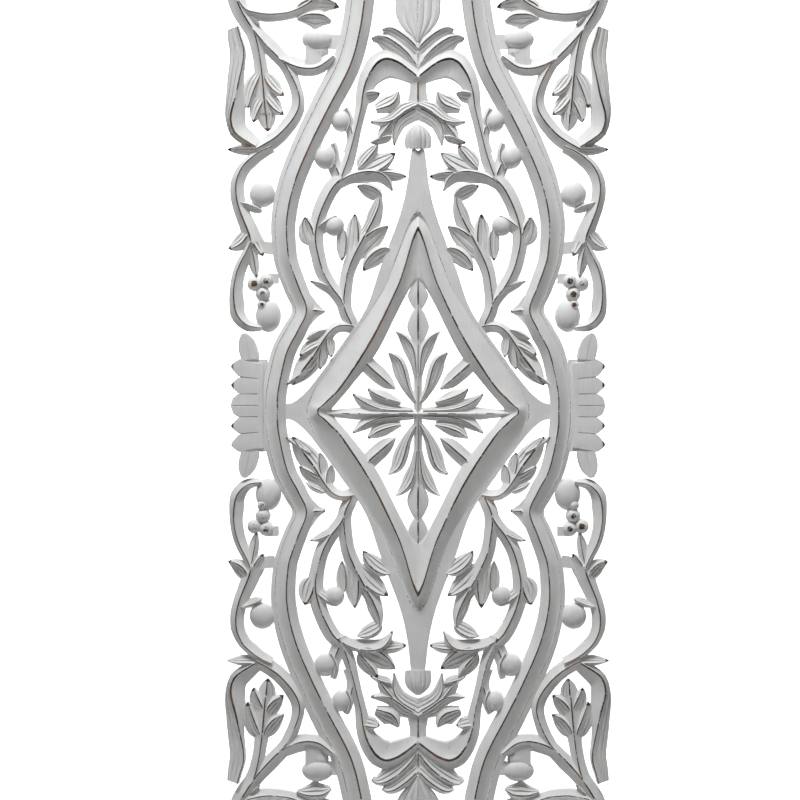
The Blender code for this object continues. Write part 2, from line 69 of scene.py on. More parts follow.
class Wire:
    """A node's output. Arithmetic on it adds the Math or Vector Math node that works it out."""

    def __init__(self, tree, socket):
        self.tree = tree
        self.socket = socket

    def combine(self, operation, first, second):
        values = {0: first, 1: second}
        sockets = [v.socket for v in (first, second) if isinstance(v, Wire)]
        if all(s.type != "VECTOR" for s in sockets):
            return node(self.tree, "ShaderNodeMath", {"operation": operation}, values)
        if operation == "MULTIPLY" and not isinstance(second, Vector):
            if not isinstance(second, Wire) or second.socket.type != "VECTOR":
                operation = "SCALE"
                values = {0: first, "Scale": second}
        return node(self.tree, "ShaderNodeVectorMath", {"operation": operation}, values)

    def __add__(self, other):
        return self.combine("ADD", self, other)

    def __radd__(self, other):
        return self.combine("ADD", other, self)

    def __sub__(self, other):
        return self.combine("SUBTRACT", self, other)

    def __rsub__(self, other):
        return self.combine("SUBTRACT", other, self)

    def __mul__(self, other):
        return self.combine("MULTIPLY", self, other)

    def __rmul__(self, other):
        return self.combine("MULTIPLY", self, other)

    def ramp(self, low, high):
        """0 below low and 1 above high, smooth between them."""
        return node(
            self.tree,
            "ShaderNodeMapRange",
            {"interpolation_type": "SMOOTHSTEP"},
            {"Value": self, "From Min": low, "From Max": high},
        )


def node(tree, kind, settings=None, inputs=None, output=None):
    """Adds a node with these settings and inputs, and gives its named or first used output."""
    made = tree.nodes.new(kind)
    for name, value in (settings or {}).items():
        setattr(made, name, value)
    for name, value in (inputs or {}).items():
        for wire in value if isinstance(value, list) else [value]:
            if isinstance(wire, Wire):
                tree.links.new(wire.socket, made.inputs[name])
            else:
                made.inputs[name].default_value = wire
    if output is not None:
        return Wire(tree, made.outputs[output])
    return Wire(tree, next((o for o in made.outputs if o.enabled), None))


def new_tree(name, inputs):
    """An empty geometry tree with these inputs, its input wires by name, and its output socket."""
    tree = bpy.data.node_groups.new(name, "GeometryNodeTree")
    for label, kind in inputs.items():
        tree.interface.new_socket(label, in_out="INPUT", socket_type="NodeSocket" + kind)
    tree.interface.new_socket("Geometry", in_out="OUTPUT", socket_type="NodeSocketGeometry")
    given = tree.nodes.new("NodeGroupInput")
    result = tree.nodes.new("NodeGroupOutput")
    wires = {label: Wire(tree, given.outputs[label]) for label in inputs}
    return tree, wires, result.inputs["Geometry"]


def add_tree(obj, tree, values):
    """Gives the object this tree, with its inputs set by their identifiers."""
    modifier = obj.modifiers.new(tree.name, "NODES")
    modifier.node_group = tree
    for item in tree.interface.items_tree:
        if item.in_out == "INPUT" and item.name in values:
            modifier[item.identifier] = values[item.name]


def named(tree, name, kind="FLOAT_VECTOR"):
    """What the mesh stores under this name."""
    return node(tree, "GeometryNodeInputNamedAttribute", {"data_type": kind}, {"Name": name})


def build_strip_tree():
    """Tree that sweeps a cross-section along lines whose points carry the places of both edges.

    A point of the section sits at the crest plus its shares of the ways to the left edge, the right
    edge and the outer rim, sunk by its dip times the strip's width. Each strip is closed at the
    back.
    """
    tree, given, result = new_tree(
        "carved_strips",
        {"Geometry": "Geometry", "Cross Section": "Object", "Steps": "Int", "Closed": "Bool"},
    )
    line = node(tree, "GeometryNodeMeshToCurve", {}, {"Mesh": given["Geometry"]})
    line = node(
        tree, "GeometryNodeSetSplineCyclic", {}, {"Geometry": line, "Cyclic": given["Closed"]}
    )
    line = node(
        tree, "GeometryNodeCurveSplineType", {"spline_type": "CATMULL_ROM"}, {"Curve": line}
    )
    line = node(
        tree,
        "GeometryNodeSetSplineResolution",
        {},
        {"Geometry": line, "Resolution": given["Steps"]},
    )
    line = node(
        tree,
        "GeometryNodeStoreNamedAttribute",
        {"data_type": "FLOAT_VECTOR", "domain": "POINT"},
        {"Geometry": line, "Name": "crest", "Value": node(tree, "GeometryNodeInputPosition")},
    )
    section = node(
        tree, "GeometryNodeObjectInfo", {}, {"Object": given["Cross Section"]}, "Geometry"
    )
    section = node(tree, "GeometryNodeMeshToCurve", {}, {"Mesh": section})
    section = node(
        tree, "GeometryNodeSetSplineCyclic", {}, {"Geometry": section, "Cyclic": True}
    )
    swept = node(
        tree,
        "GeometryNodeCurveToMesh",
        {},
        {"Curve": line, "Profile Curve": section, "Fill Caps": True},
    )
    crest, left, right = (named(tree, name) for name in ("crest", "left_edge", "right_edge"))
    shares = node(tree, "ShaderNodeSeparateXYZ", {}, {0: named(tree, "shares")})
    to_left, to_right, to_rim = (Wire(tree, s) for s in shares.socket.node.outputs)
    width = node(tree, "ShaderNodeVectorMath", {"operation": "DISTANCE"}, {0: left, 1: right})
    sunk = node(tree, "ShaderNodeCombineXYZ", {}, {"Y": width * named(tree, "dip", "FLOAT")})
    place = crest + (left - crest) * to_left + (right - crest) * to_right
    place = place + (named(tree, "rim") - crest) * to_rim + sunk
    onto_back = node(
        tree, "ShaderNodeCombineXYZ", {}, {"X": 1.0, "Y": named(tree, "front", "FLOAT"), "Z": 1.0}
    )
    swept = node(
        tree, "GeometryNodeSetPosition", {}, {"Geometry": swept, "Position": place * onto_back}
    )
    # Brown rubbed wear on crests and tips, and painted shade in the grooves and along the cut
    # edges.
    worn = node(
        tree,
        "ShaderNodeMath",
        {"operation": "MAXIMUM"},
        {0: named(tree, "ridge", "FLOAT"), 1: named(tree, "tip", "FLOAT")},
    )
    swept = node(
        tree,
        "GeometryNodeStoreNamedAttribute",
        {"data_type": "FLOAT", "domain": "POINT"},
        {"Geometry": swept, "Name": "worn", "Value": worn},
    )
    swept = node(
        tree, "GeometryNodeMergeByDistance", {}, {"Geometry": swept, "Distance": 0.02 * MM}
    )
    tree.links.new(swept.socket, result)
    return tree


STRIP_TREE = build_strip_tree()


def between(values, share):
    """The value at this share of the way along evenly spaced values."""
    if not isinstance(values, tuple):
        return values
    place = share * (len(values) - 1)
    first = min(int(place), len(values) - 2)
    return values[first] + (values[first + 1] - values[first]) * (place - first)


def point_3d(across, up, height):
    """A drawn place, in metres in the object's frame."""
    return Vector((across, -height, up)) * MM


def sideways(points, n):
    """Leftward direction of a drawn line at its nth point."""
    before, after = Vector(points[max(n - 1, 0)]), Vector(points[min(n + 1, len(points) - 1)])
    ahead = (after - before).normalized()
    return Vector((-ahead.y, ahead.x))


def shares_along(points):
    """How far along the line each of its points is, from 0 to 1."""
    reach = [0.0]
    for a, b in zip(points, points[1:]):
        reach.append(reach[-1] + (Vector(b) - Vector(a)).length)
    return [r / reach[-1] for r in reach]


def section_object(name, front):
    """A cross-section, left to right: (share to left edge, to right edge, to rim, dip, wear and
    shade).
    """
    back = [(*front[-1][:3], 0.0, 0.0), (*front[0][:3], 0.0, 0.0)]
    points = front + back
    mesh = bpy.data.meshes.new(name)
    # The points lie round a small ring, which gives the sweep its order and direction.
    turns = [2 * math.pi * n / len(points) for n in range(len(points))]
    ring = [(MM * math.cos(turn), MM * math.sin(turn), 0.0) for turn in turns]
    mesh.from_pydata(ring, [(n, n + 1) for n in range(len(points) - 1)], [])
    mesh.attributes.new("shares", "FLOAT_VECTOR", "POINT").data.foreach_set(
        "vector", [share for point in points for share in point[:3]]
    )
    # The last number is brown rubbed wear on crests and tips, and painted shade in grooves and
    # along cut edges.
    columns = {
        "dip": [point[3] for point in points],
        "ridge": [point[4] for point in points],
        "front": [1.0] * len(front) + [0.0] * len(back),
    }
    for label, values in columns.items():
        mesh.attributes.new(label, "FLOAT", "POINT").data.foreach_set("value", values)
    return bpy.data.objects.new(name, mesh)


def strips_object(name, strips, section, steps, closed=False):
    """One object for many strips. A row is (left edge, crest, right edge, rim, tip's wear)."""
    rows = [row for strip in strips for row in strip]
    edges = []
    start = 0
    for strip in strips:
        edges += [(n, n + 1) for n in range(start, start + len(strip) - 1)]
        start += len(strip)
    mesh = bpy.data.meshes.new(name)
    mesh.from_pydata([row[1] for row in rows], edges, [])
    for label, column in (("left_edge", 0), ("right_edge", 2), ("rim", 3)):
        mesh.attributes.new(label, "FLOAT_VECTOR", "POINT").data.foreach_set(
            "vector", [value for row in rows for value in row[column]]
        )
    mesh.attributes.new("tip", "FLOAT", "POINT").data.foreach_set("value", [row[4] for row in rows])
    obj = bpy.data.objects.new(name, mesh)
    add_tree(obj, STRIP_TREE, {"Cross Section": section, "Steps": steps, "Closed": closed})
    return obj


def build_repeat_tree():
    """Tree that joins one quarter's shapes, then repeats them to the other side and upside down."""
    tree, given, result = new_tree(
        "repeated_carving",
        {
            "Geometry": "Geometry",
            "Shapes": "Collection",
            "Both Sides": "Bool",
            "Both Halves": "Bool",
            "Mirror Height": "Float",
        },
    )
    shapes = node(
        tree,
        "GeometryNodeCollectionInfo",
        {"transform_space": "ORIGINAL"},
        {"Collection": given["Shapes"], "Separate Children": True},
    )
    shapes = node(tree, "GeometryNodeRealizeInstances", {}, {"Geometry": shapes})
    island = node(tree, "GeometryNodeInputMeshIsland", {}, {}, "Island Index")
    shapes = node(
        tree,
        "GeometryNodeSplitToInstances",
        {"domain": "FACE"},
        {"Geometry": shapes, "Group ID": island},
    )

    def union(*parts):
        return node(
            tree,
            "GeometryNodeMeshBoolean",
            {"operation": "UNION", "solver": "MANIFOLD"},
            {"Mesh 2": list(parts)},
        )

    def mirrored(part, scale, lift):
        turned = node(
            tree,
            "GeometryNodeTransform",
            {},
            {"Geometry": part, "Scale": scale, "Translation": lift},
        )
        return node(tree, "GeometryNodeFlipFaces", {}, {"Mesh": turned})

    def chosen(switch, yes, no):
        return node(
            tree,
            "GeometryNodeSwitch",
            {"input_type": "GEOMETRY"},
            {"Switch": switch, "True": yes, "False": no},
        )

    quarter = union(shapes)
    other_side = mirrored(quarter, (-1.0, 1.0, 1.0), (0.0, 0.0, 0.0))
    half = chosen(given["Both Sides"], union(quarter, other_side), quarter)
    lift = node(tree, "ShaderNodeCombineXYZ", {}, {"Z": given["Mirror Height"] * 2.0})
    lower = mirrored(half, (1.0, 1.0, -1.0), lift)
    whole = chosen(given["Both Halves"], union(half, lower), half)
    tree.links.new(whole.socket, result)
    return tree


REPEAT_TREE = build_repeat_tree()
carving = bpy.data.collections.new("carving")
bpy.context.scene.collection.children.link(carving)
drawn = bpy.data.collections.new("drawn_shapes")
bpy.context.scene.collection.children.link(drawn)


def repeat(name, shapes, axis=0.0, both_sides=True, both_halves=True):
    """Adds a group of shapes to the carving, repeated to the sides and halves that show it."""
    collection = bpy.data.collections.new(name)
    drawn.children.link(collection)
    for shape in shapes:
        collection.objects.link(shape)
    group = bpy.data.objects.new(name, bpy.data.meshes.new(name))
    add_tree(
        group,
        REPEAT_TREE,
        {
            "Shapes": collection,
            "Both Sides": both_sides,
            "Both Halves": both_halves,
            "Mirror Height": axis * MM,
        },
    )
    carving.objects.link(group)


def moulding_rows(path, inner, slope, strip):
    """Rows of a moulding from its crest line and the widths of its bevel, slope and flat strip."""
    rows = []
    for n, (place, share) in enumerate(zip(path, shares_along(path))):
        side = sideways(path, n)
        lip = Vector(place) - side * between(inner, share)
        foot = Vector(place) + side * between(slope, share)
        outer = foot + side * between(strip, share)
        rows.append(
            (
                point_3d(*outer, MOULDING_RIM),
                point_3d(*place, MOULDING_CREST),
                point_3d(*lip, MOULDING_LIP),
                point_3d(*foot, MOULDING_FOOT),
                0.0,
            )
        )
    return rows


# Last number: brown rubbed wear at the crest; at the lip's cut edge it is also painted shade.
inner_bevel = [
    (0.0, 0.0, 0.0, 0.0, 1.0),
    (0.0, 0.06, 0.0, 0.003, 0.9),
    (0.0, 0.13, 0.0, 0.007, 0.0),
    (0.0, 0.35, 0.0, 0.014, 0.0),
    (0.0, 0.65, 0.0, 0.014, 0.0),
    (0.0, 0.92, 0.0, 0.002, 0.0),
    (0.0, 1.0, 0.0, 0.014, 0.7),
]
# Last number: brown rubbed wear at crest and foot, and painted shade at the outer cut edge.
moulding_section = section_object(
    "moulding_section",
    [
        (1.0, 0.0, 0.0, 0.016, 0.6),
        (0.9, 0.0, 0.1, 0.0, 0.0),
        (0.1, 0.0, 0.9, -0.002, 0.0),
        (0.0, 0.0, 1.0, 0.0, 0.9),
        (0.0, 0.0, 0.94, 0.028, 0.4),
        (0.0, 0.0, 0.82, 0.056, 0.0),
        (0.0, 0.0, 0.62, 0.066, 0.0),
        (0.0, 0.0, 0.42, 0.056, 0.0),
        (0.0, 0.0, 0.24, 0.034, 0.0),
        (0.0, 0.0, 0.12, 0.015, 0.0),
        (0.0, 0.0, 0.05, 0.003, 0.9),
        *inner_bevel,
    ],
)
moulding_line = [
    (48, 440), (52.5, 415), (57.5, 380), (67.5, 343), (88.5, 302), (106, 267), (122.5, 227.5),
    (130.6, 190), (129.4, 156), (125, 139), (118.5, 121.5), (111, 99.5), (119.5, 79),
    (131, 56), (139.1, 19), (140, MOULDING_AXIS), (140, MOULDING_AXIS - PAST_AXIS),
]
moulding = moulding_rows(
    moulding_line,
    inner=(10, 9.5, 9, 8, 8.5),
    slope=(12.5, 13, 12, 11, 12),
    strip=(6, 6.5, 4.5, 3.5, 4.5),
)
repeat(
    "side_mouldings",
    [strips_object("side_moulding", [moulding], moulding_section, steps=8)],
    MOULDING_AXIS,
)

# Diamond frame: the raised frame in the middle, with long points above and below. It is one closed
# moulding with a deep cove, whose flat strip widens into the points and fades out along the sides.
DIAMOND_AXIS = -1.5
DIAMOND_STRIP = 9.0
DIAMOND_LIP = 10.0
# Last number: brown rubbed wear at crest and foot, and painted shade at the outer cut edge.
diamond_section = section_object(
    "diamond_section",
    [
        (1.0, 0.0, 0.0, 0.016, 0.5),
        (0.97, 0.0, 0.03, 0.0, 0.0),
        (0.5, 0.0, 0.5, 0.0, 0.0),
        (0.1, 0.0, 0.9, 0.0, 0.0),
        (0.02, 0.0, 0.98, 0.0, 0.75),
        (0.0, 0.0, 1.0, 0.004, 0.75),
        (0.0, 0.0, 0.94, 0.022, 0.0),
        (0.0, 0.0, 0.78, 0.036, 0.0),
        (0.0, 0.0, 0.55, 0.038, 0.0),
        (0.0, 0.0, 0.3, 0.026, 0.0),
        (0.0, 0.0, 0.13, 0.012, 0.0),
        (0.0, 0.0, 0.04, 0.002, 0.9),
        *inner_bevel,
    ],
)
diamond_rim = [(0, 259), (6.5, 258.9), (11, 225), (19, 192), (37, 144), (52, 101), (75, 67),
               (99, 34), (112, 18), (124, 8), (134, 4.5)]
diamond_foot = [(0, 197), (3, 195), (8, 188), (13, 176), (24, 146), (36.5, 117), (64, 77),
                (94, 35), (103, 22), (107.5, 10), (110, 4)]
diamond_crest = [(0, 182), (1.5, 179.5), (5, 171), (8, 161), (14, 140), (22, 119), (46, 70),
                 (75, 25), (88, 11), (95, 4.5), (99.5, 1)]
diamond_lip = [(0, 127.5), (1.5, 127), (5, 126), (10, 118), (17, 105), (24, 91), (42, 56),
               (66, 25), (76, 13), (82, 6), (86, 1)]


def diamond_rows():
    """Rows all the way round the diamond, clockwise from its top point."""
    heights = (DIAMOND_STRIP, MOULDING_CREST, DIAMOND_LIP, DIAMOND_STRIP)
    lines = (diamond_rim, diamond_crest, diamond_lip, diamond_foot)
    quarter = list(zip(*lines))
    half = quarter + [
        tuple((across, 2 * DIAMOND_AXIS - up) for across, up in row) for row in reversed(quarter)
    ]
    whole = half + [
        tuple((-across, up) for across, up in row) for row in reversed(half[1:-1])
    ]
    return [
        (*(point_3d(*place, height) for place, height in zip(row, heights)), 0.0) for row in whole
    ]


repeat(
    "diamond_frame",
    [strips_object("diamond", [diamond_rows()], diamond_section, steps=5, closed=True)],
    both_sides=False,
    both_halves=False,
)

# Flower: an upright spear and a level bar crossed in the diamond's opening, with leaves between
# them. Stems are cut as two hollow bevels that meet in a ridge. A leaf has its ridge near one
# edge and two vein grooves on its broad side.
FLOWER_AXIS = -3.5
STEM_CREST = 14.5
CUT_EDGE = 8.0
LEAF_CREST = 13.0
LEAF_EDGE = 7.2
LEAF_ROOT = 10.0
LEAF_TIP = 11.5
BUD_CREST = 15.5
WORN_FROM = 0.95
WORN_BELOW = 1.6
WORN_TIP = 0.9
LEAF_WORN_FROM = 0.9
LEAF_TIP_WEAR = (0.75, 0.2)
# A leaf's width, as shares along it and of its full width.
LEAF_WIDTHS = ((0.0, 0.0), (0.1, 0.58), (0.25, 0.92), (0.42, 1.0), (0.6, 0.93), (0.77, 0.7),
               (0.91, 0.34), (1.0, 0.0))

# Last number: brown rubbed wear along the ridge, and painted shade along both cut edges.
stem_section = section_object(
    "stem_section",
    [
        (1.0, 0.0, 0.0, 0.045, 0.7),
        (0.9, 0.0, 0.0, 0.0, 0.0),
        (0.62, 0.0, 0.0, 0.045, 0.0),
        (0.3, 0.0, 0.0, 0.06, 0.0),
        (0.15, 0.0, 0.0, 0.035, 0.0),
        (0.07, 0.0, 0.0, 0.012, 0.95),
        (0.0, 0.0, 0.0, 0.0, 1.0),
        (0.0, 0.07, 0.0, 0.012, 0.95),
        (0.0, 0.15, 0.0, 0.035, 0.0),
        (0.0, 0.3, 0.0, 0.06, 0.0),
        (0.0, 0.62, 0.0, 0.045, 0.0),
        (0.0, 0.9, 0.0, 0.0, 0.0),
        (0.0, 1.0, 0.0, 0.045, 0.7),
    ],
)
# Last number: brown rubbed wear on the ridge, painted shade in both vein grooves and the cut edges.
leaf_section = section_object(
    "leaf_section",
    [
        (1.0, 0.0, 0.0, 0.04, 0.7),
        (0.84, 0.0, 0.0, 0.0, 0.0),
        (0.5, 0.0, 0.0, 0.03, 0.0),
        (0.2, 0.0, 0.0, 0.02, 0.0),
        (0.09, 0.0, 0.0, 0.008, 0.95),
        (0.0, 0.0, 0.0, 0.0, 1.0),
        (0.0, 0.05, 0.0, 0.012, 0.95),
        (0.0, 0.11, 0.0, 0.04, 0.0),
        (0.0, 0.24, 0.0, 0.06, 0.0),
        (0.0, 0.33, 0.0, 0.15, 0.55),
        (0.0, 0.4, 0.0, 0.02, 0.0),
        (0.0, 0.58, 0.0, 0.02, 0.0),
        (0.0, 0.66, 0.0, 0.125, 0.5),
        (0.0, 0.73, 0.0, 0.0, 0.0),
        (0.0, 0.92, 0.0, 0.0, 0.0),
        (0.0, 1.0, 0.0, 0.06, 0.75),
    ],
)


def strip(path, left, right, crest=STEM_CREST, edge=CUT_EDGE):
    """Rows of a strip along a drawn line, turned so that its broader side is on the right.

    Its tip is worn where the strip ends thin.
    """
    rows = []
    for n, (place, share) in enumerate(zip(path, shares_along(path))):
        side = sideways(path, n)
        start = Vector(place) + side * between(left, share)
        end = Vector(place) - side * between(right, share)
        low, high = between(edge, share), between(crest, share)
        wear = WORN_TIP * (share > WORN_FROM and between(left, share) < WORN_BELOW)
        rows.append([start, Vector(place), end, low, high, wear])
    total = [sum((row[k] - row[1]).length for row in rows) for k in (0, 2)]
    if total[0] > total[1]:
        rows = [[end, place, start, *rest] for start, place, end, *rest in reversed(rows)]
    return [
        (
            point_3d(*start, low),
            point_3d(*place, high),
            point_3d(*end, low),
            point_3d(*end, low),
            wear,
        )
        for start, place, end, low, high, wear in rows
    ]


def leaf(base, tip, width, bow=0.0, lean=0.0):
    """Rows of a leaf. Bow bends it to the left of the way to its tip, lean moves its ridge left."""
    base, tip = Vector(base), Vector(tip)
    way = tip - base
    side = Vector((-way.y, way.x)).normalized()
    rows = []
    for share, opening in LEAF_WIDTHS:
        middle = base + way * share + side * (bow * 4 * share * (1 - share))
        along = way + side * (bow * 4 * (1 - 2 * share))
        across = Vector((-along.y, along.x)).normalized() * (opening * width / 2)
        ending = LEAF_ROOT if share < 0.5 else LEAF_TIP
        low = ending + (LEAF_EDGE - ending) * min(1.0, 1.4 * opening)
        high = ending + (LEAF_CREST - ending) * min(1.0, 1.2 * opening)
        ridge = middle + across * lean
        wear = LEAF_TIP_WEAR[0] * (share > LEAF_WORN_FROM) + LEAF_TIP_WEAR[1] * (share == 1.0)
        rows.append([middle + across, ridge, middle - across, low, high, wear])
    if lean < 0:
        rows = [[end, ridge, start, *rest] for start, ridge, end, *rest in reversed(rows)]
    return [
        (
            point_3d(*start, low),
            point_3d(*ridge, high),
            point_3d(*end, low),
            point_3d(*end, low),
            wear,
        )
        for start, ridge, end, low, high, wear in rows
    ]


def build_bud_tree():
    """Tree that sets a flat-backed bud of its own width, depth and height on each point.

    Bluntness below 1 fills out the bud's front. The wear starts in the middle of it.
    """
    tree, given, result = new_tree(
        "round_buds",
        {"Geometry": "Geometry", "Sides": "Int", "Rings": "Int", "Bluntness": "Float"},
    )
    ball = node(
        tree,
        "GeometryNodeMeshUVSphere",
        {},
        {"Segments": given["Sides"], "Rings": given["Rings"], "Radius": 1.0},
        "Mesh",
    )
    parts = node(tree, "ShaderNodeSeparateXYZ", {}, {0: node(tree, "GeometryNodeInputPosition")})
    across, depth, up = (Wire(tree, s) for s in parts.socket.node.outputs)
    front = node(tree, "ShaderNodeMath", {"operation": "MAXIMUM"}, {0: depth * -1.0, 1: 0.0})
    blunt = node(tree, "ShaderNodeMath", {"operation": "POWER"}, {0: front, 1: given["Bluntness"]})
    place = node(tree, "ShaderNodeCombineXYZ", {}, {"X": across, "Y": blunt * -1.0, "Z": up})
    ball = node(tree, "GeometryNodeSetPosition", {}, {"Geometry": ball, "Position": place})
    ball = node(
        tree,
        "GeometryNodeStoreNamedAttribute",
        {"data_type": "FLOAT", "domain": "POINT"},
        {"Geometry": ball, "Name": "worn", "Value": blunt.ramp(0.88, 0.99)},
    )
    buds = node(
        tree,
        "GeometryNodeInstanceOnPoints",
        {},
        {"Points": given["Geometry"], "Instance": ball, "Scale": named(tree, "size")},
    )
    buds = node(tree, "GeometryNodeRealizeInstances", {}, {"Geometry": buds})
    wear = named(tree, "worn", "FLOAT") * named(tree, "tip", "FLOAT")
    buds = node(
        tree,
        "GeometryNodeStoreNamedAttribute",
        {"data_type": "FLOAT", "domain": "POINT"},
        {"Geometry": buds, "Name": "worn", "Value": wear},
    )
    tree.links.new(buds.socket, result)
    return tree


BUD_TREE = build_bud_tree()


def buds_object(name, buds):
    """One object for many buds: (middle, half width, half height, height, middle's wear)."""
    mesh = bpy.data.meshes.new(name)
    mesh.from_pydata([point_3d(*bud[0], 0.0) for bud in buds], [], [])
    sizes = [value * MM for bud in buds for value in (bud[1], bud[3], bud[2])]
    mesh.attributes.new("size", "FLOAT_VECTOR", "POINT").data.foreach_set("vector", sizes)
    mesh.attributes.new("tip", "FLOAT", "POINT").data.foreach_set("value", [bud[4] for bud in buds])
    obj = bpy.data.objects.new(name, mesh)
    add_tree(obj, BUD_TREE, {"Sides": 20, "Rings": 10, "Bluntness": 0.55})
    return obj


def carve(name, axis, stems=(), leaves=(), buds=(), both_sides=True):
    """Adds a group's stems, leaves and buds to the carving."""
    shapes = []
    if stems:
        shapes.append(strips_object(name + "_stems", stems, stem_section, steps=3))
    if leaves:
        shapes.append(strips_object(name + "_leaves", leaves, leaf_section, steps=2))
    if buds:
        shapes.append(buds_object(name + "_buds", buds))
    repeat(name, shapes, axis, both_sides=both_sides)


carve(
    "flower_spear",
    FLOWER_AXIS,
    stems=[
        strip([(0, FLOWER_AXIS - PAST_AXIS), (0, 14), (0, 30), (0, 45), (0, 60), (0, 72)],
              4, 4, crest=(STEM_CREST, STEM_CREST, 13, 12.5, 12)),
        strip([(0, 98), (0, 105), (0, 114), (0, 122), (0, 131)],
              (2, 7.5, 10.5, 7, 5), (2, 7.5, 10.5, 7, 5), crest=(10.5, 12, 12, 11, 10)),
        strip([(0, 64), (0, 70), (0, 78), (0, 86), (0, 95), (0, 101), (0, 106)],
              (1.5, 6.5, 10, 11, 9, 5, 1), (1.5, 6.5, 10, 11, 9, 5, 1),
              crest=(LEAF_TIP, LEAF_CREST, LEAF_CREST, 13.5, LEAF_TIP)),
    ],
    both_sides=False,
)
carve(
    "flower_leaves",
    FLOWER_AXIS,
    stems=[
        strip([(-2, FLOWER_AXIS), (18, FLOWER_AXIS), (36, FLOWER_AXIS), (52, FLOWER_AXIS)],
              (5.5, 5.5, 4.5, 2), (5.5, 5.5, 4.5, 2)),
        strip([(44, FLOWER_AXIS), (58, FLOWER_AXIS), (74, FLOWER_AXIS), (92, FLOWER_AXIS)],
              (1.5, 7, 4.5, 3), (1.5, 7, 4.5, 3), crest=LEAF_CREST),
        strip([(53, 47.5), (46, 41), (38, 34), (31, 28), (25, 23), (22.5, 21)],
              (8.5, 8.5, 8.5, 8, 7, 1), (8.5, 8.5, 8.5, 8, 6, 1),
              crest=(12, LEAF_CREST, LEAF_CREST)),
    ],
    leaves=[
        strip([(1.5, 34), (2.5, 46), (3.5, 56), (6.5, 65), (12.5, 72.5), (19.5, 77.2), (22, 78)],
              (2.5, 2.5, 3, 3.5, 3.5, 3, 1), (3, 4, 7, 10, 9.5, 6.5, 1), crest=LEAF_CREST),
        strip([(2, 8), (6, 15), (10, 24), (13.5, 38), (17.5, 48.5), (23, 54), (29.5, 57)],
              (2, 3, 3.5, 4, 4, 3.5, 1), (3, 5, 7.5, 10.5, 11, 9, 1), crest=LEAF_CREST),
        strip([(17, 7.5), (26, 9.5), (34, 12), (42, 15.5), (50, 21)],
              (2, 5, 7, 6, 1), (3, 6, 8, 7, 1), crest=LEAF_CREST),
        strip([(5, -0.5), (20, -0.5), (34, 0.5), (46, 4), (56, 9.5), (65, 15.8)],
              (3, 4.5, 5.5, 6.5, 5, 1), (2, 3, 4, 6, 7, 1), crest=LEAF_CREST),
    ],
)

# Palmette: the leafy head above and below the diamond, carved in the same board. Its two arms arch
# over and run on down as stems. A fluted leaf stands on top and a fluted bud hangs between them.
PALMETTE_AXIS = 0.5
# Last number: painted shade in the flutes' grooves and down the middle, and along the cut edges.
fluted_half = [
    (1.0, 0.05, 0.5),
    (0.94, 0.0, 0.0),
    (0.78, -0.005, 0.0),
    (0.68, 0.02, 0.0),
    (0.62, 0.055, 0.3),
    (0.56, 0.015, 0.0),
    (0.44, 0.0, 0.0),
    (0.34, 0.02, 0.0),
    (0.28, 0.055, 0.3),
    (0.22, 0.012, 0.0),
    (0.08, 0.0, 0.0),
]
fluted_section = section_object(
    "fluted_section",
    [(share, 0.0, 0.0, dip, ridge) for share, dip, ridge in fluted_half]
    + [(0.0, 0.0, 0.0, 0.03, 0.8)]
    + [(0.0, share, 0.0, dip, ridge) for share, dip, ridge in reversed(fluted_half)],
)
top_leaf = strip(
    [(0, 367), (0, 375), (0, 384), (0, 393), (0, 402), (0, 412), (0, 424)],
    (1, 10, 19, 22.5, 22.5, 23, 23),
    (1, 10, 19, 22.5, 22.5, 23, 23),
    crest=LEAF_CREST,
)
hanging_bud = strip(
    [(0, 285.5), (0, 282), (0, 277), (0, 271), (0, 265.5), (0, 261)],
    (2, 9, 12.5, 13.3, 13.3, 12.6),
    (2, 9, 12.5, 13.3, 13.3, 12.6),
    crest=(9, 13.5, BUD_CREST, BUD_CREST, 14.5, 13.5),
)
repeat(
    "palmette_middle",
    [
        strips_object(
            "palmette_bar",
            [strip([(0, 360), (0, 344), (0, 331), (0, 317), (0, 303)], (6, 8, 8, 8.5, 12),
                   (6, 8, 8, 8.5, 12), crest=(9, 10, LEAF_TIP, LEAF_TIP, LEAF_TIP))],
            stem_section,
            steps=3,
        ),
        strips_object("fluted_pieces", [top_leaf, hanging_bud], fluted_section, steps=3),
    ],
    PALMETTE_AXIS,
    both_sides=False,
)
carve(
    "palmette_sides",
    PALMETTE_AXIS,
    stems=[
        strip(
            [(-1, 331), (10, 340), (20, 347), (31, 350.5), (40, 347), (47, 338), (52, 327),
             (55, 315), (56.5, 303), (59, 292), (62, 280), (65.5, 266), (70, 250), (78, 228)],
            (8, 10, 9.5, 8, 6, 4.5, 5, 7),
            (8, 17, 20, 9, 5.5, 5.5, 7, 7),
        ),
    ],
    leaves=[
        strip([(-1, 360), (7, 368), (15, 374.5), (24, 380), (31, 381), (35.5, 379)],
              (2, 4, 4.5, 4.5, 4, 1.5), (10, 12, 12, 12, 11, 3),
              crest=(10, LEAF_CREST, LEAF_CREST, LEAF_CREST, LEAF_CREST)),
        strip([(-1, 340), (7, 352), (18, 363), (31, 371.5), (41, 373), (46, 370)],
              (2, 4, 5.5, 5, 4, 1.5), (7, 9, 11, 13, 12, 3),
              crest=(10, LEAF_CREST, LEAF_CREST, LEAF_CREST, LEAF_CREST)),
        strip([(19.5, 317.5), (21.5, 310), (28, 303.5), (42, 299.5)],
              (1.5, 11, 13.5, 6), (1, 6, 8, 3), crest=LEAF_CREST),
        leaf((58, 311), (38, 316), 14, lean=-0.5),
        strip([(-1, 306), (12.5, 298), (24, 289.5), (34, 287), (47, 287.5)],
              (4, 11, 9, 6, 1), (4, 5, 4, 5, 1), crest=LEAF_CREST),
        strip([(-2, 303), (10, 297), (20, 289.5), (25, 279), (24, 264)],
              (2, 2, 2, 1.5, 0.6), (12, 11, 10, 8, 0.6), crest=LEAF_TIP),
        leaf((23, 290), (40.5, 268.5), 14, lean=0.1),
        leaf((26, 273), (48, 266.5), 9, lean=0.3),
    ],
)

